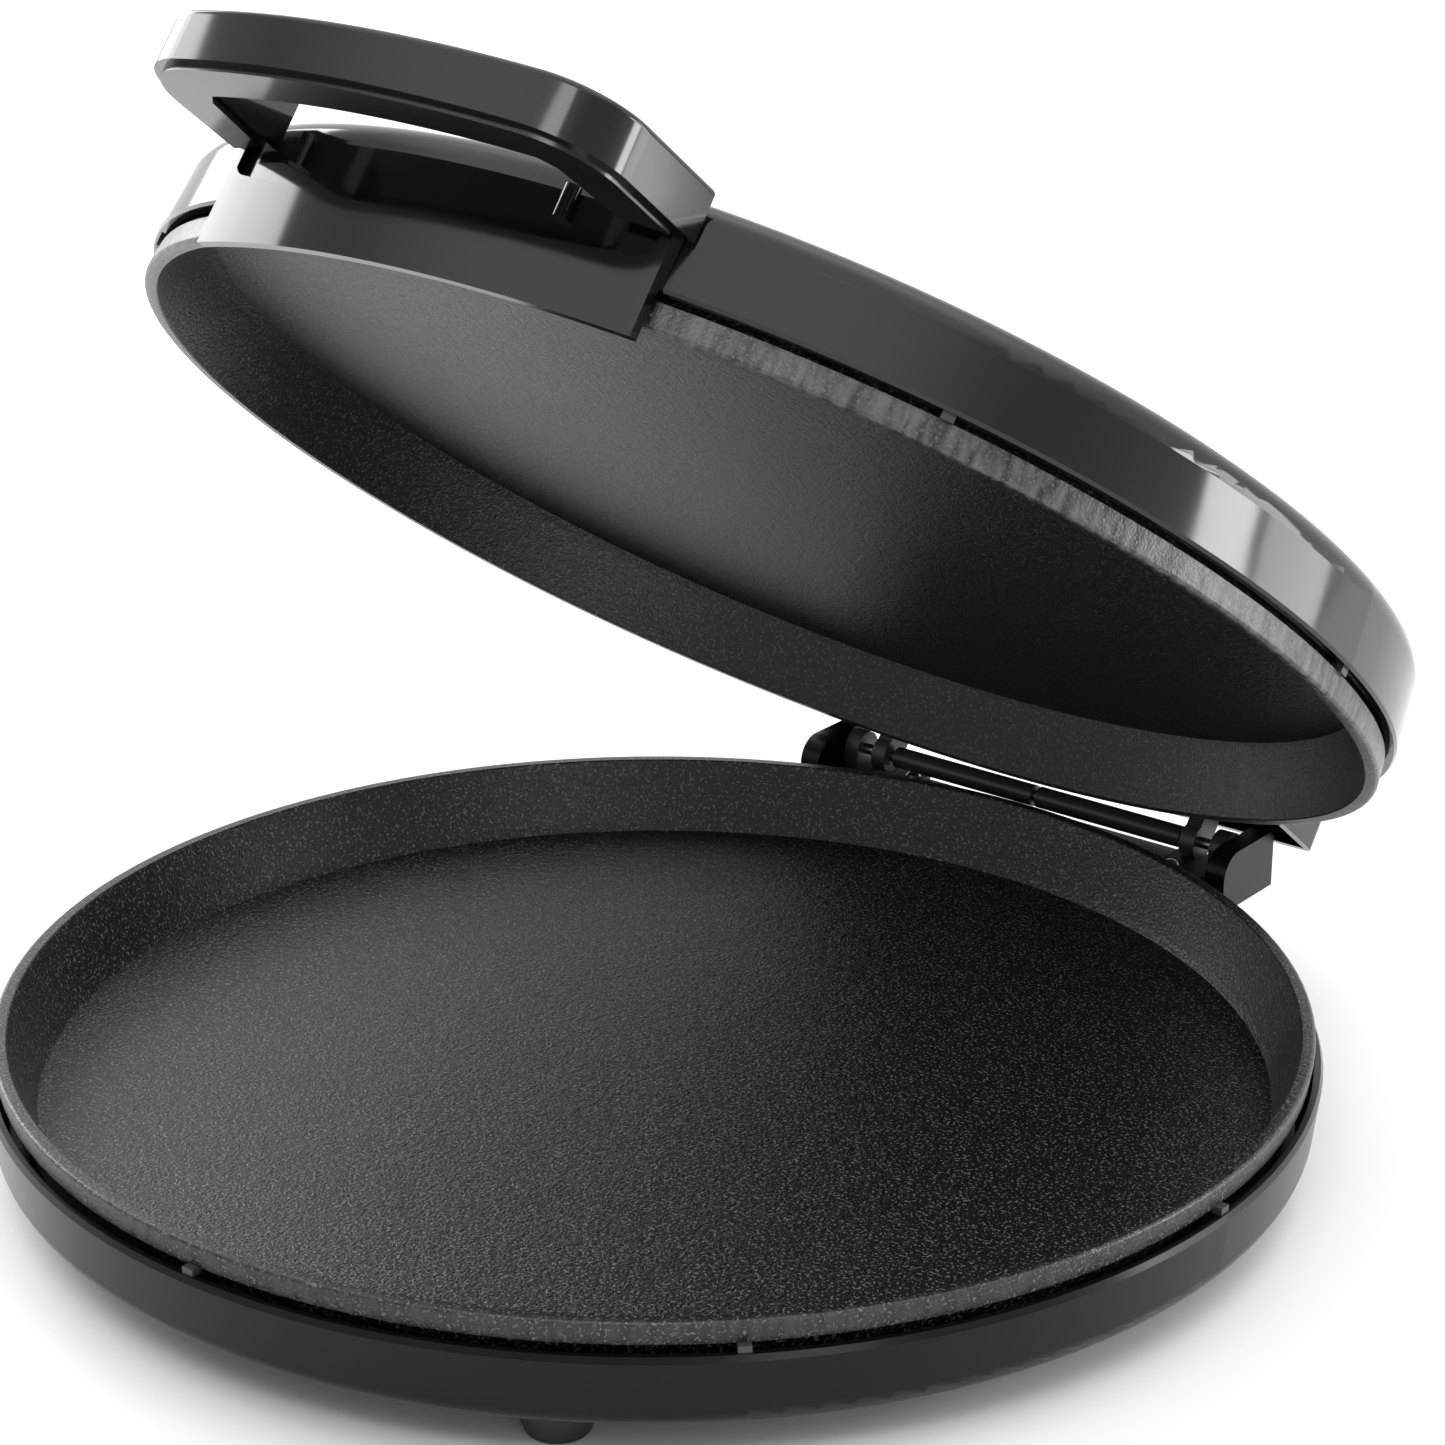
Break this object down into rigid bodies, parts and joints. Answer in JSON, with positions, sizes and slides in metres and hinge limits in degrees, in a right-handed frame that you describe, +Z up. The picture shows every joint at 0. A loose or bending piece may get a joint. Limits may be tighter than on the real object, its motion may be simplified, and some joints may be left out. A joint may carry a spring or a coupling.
{
  "type": "electric griddle",
  "caption": "Round clamshell electric griddle for pizza: black housing, speckled non-stick pans above and below, domed gloss lid with a loop handle on a rear hinge.",
  "frame": {"origin": "middle of the footprint of the whole open object, on the ground under the feet", "axes": "+X to the right along the hinge axis, +Y to the back where the hinge is, +Z up"},
  "size_m": [0.3244, 0.3592, 0.2892],
  "materials": {
    "housing_black": "satin moulded phenolic plastic",
    "shell_gloss": "high gloss moulded plastic",
    "handle_gloss": "high gloss moulded plastic",
    "handle_under": "satin moulded plastic",
    "pan_nonstick": "die-cast with speckled non-stick coating",
    "spacer": "heat resistant moulding",
    "element_steel": "heat-tinted tube",
    "clip_steel": "pressed and zinc plated",
    "reflector_metal": "rolled bright sheet",
    "screw_steel": "zinc plated",
    "thermostat_body": "glazed body with pressed rim",
    "fuse_body": "drawn can",
    "terminal_plastic": "natural nylon",
    "wire_sleeve": "woven glass sleeve",
    "gland_plastic": "moulded",
    "pin_steel": "ground rod",
    "sleeve_black": "satin black",
    "bracket_black": "satin black",
    "foot_plastic": "moulded",
    "lens_red": "clear tinted",
    "lens_green": "clear tinted"
  },
  "bodies": {
    "base": {"base_shell": "housing_black", "base_wiring": "wire_sleeve", "bracket_screws": "screw_steel", "cord_gland": "gland_plastic", "foot_1": "foot_plastic", "foot_2": "foot_plastic", "foot_3": "foot_plastic", "foot_4": "foot_plastic", "foot_screws": "screw_steel", "fuse_clip": "clip_steel", "hinge_bracket_left": "bracket_black", "hinge_bracket_right": "bracket_black", "hinge_pin": "pin_steel", "hinge_sleeve_left": "sleeve_black", "hinge_sleeve_right": "sleeve_black", "lower_element": "element_steel", "lower_element_clips": "clip_steel", "lower_pan": "pan_nonstick", "lower_pan_screws": "screw_steel", "lower_reflector": "reflector_metal", "lower_spacers": "spacer", "terminal_block": "terminal_plastic", "thermal_fuse": "fuse_body", "thermostat": "thermostat_body", "thermostat_bracket": "clip_steel"},
    "lid": {"lid_shell": "shell_gloss", "upper_pan": "pan_nonstick", "upper_spacers": "spacer", "upper_element": "element_steel", "upper_element_clips": "clip_steel", "upper_reflector": "reflector_metal", "upper_pan_studs": "screw_steel", "lid_wiring": "wire_sleeve", "lamp_lens_left": "lens_red", "lamp_lens_right": "lens_green", "lamp_holder": "terminal_plastic", "handle": "handle_gloss", "handle_insert": "handle_under", "handle_screws": "screw_steel", "hinge_arm_left": "bracket_black", "hinge_arm_right": "bracket_black", "arm_screws": "screw_steel"}
  },
  "joints": [
    {"name": "lid_hinge", "type": "hinge", "parent": "base", "child": "lid", "pos_m": [0, 0.15077, 0.03525], "axis": [-1, 0, 0], "range_deg": [-38.06, 61.94]}
  ]
}
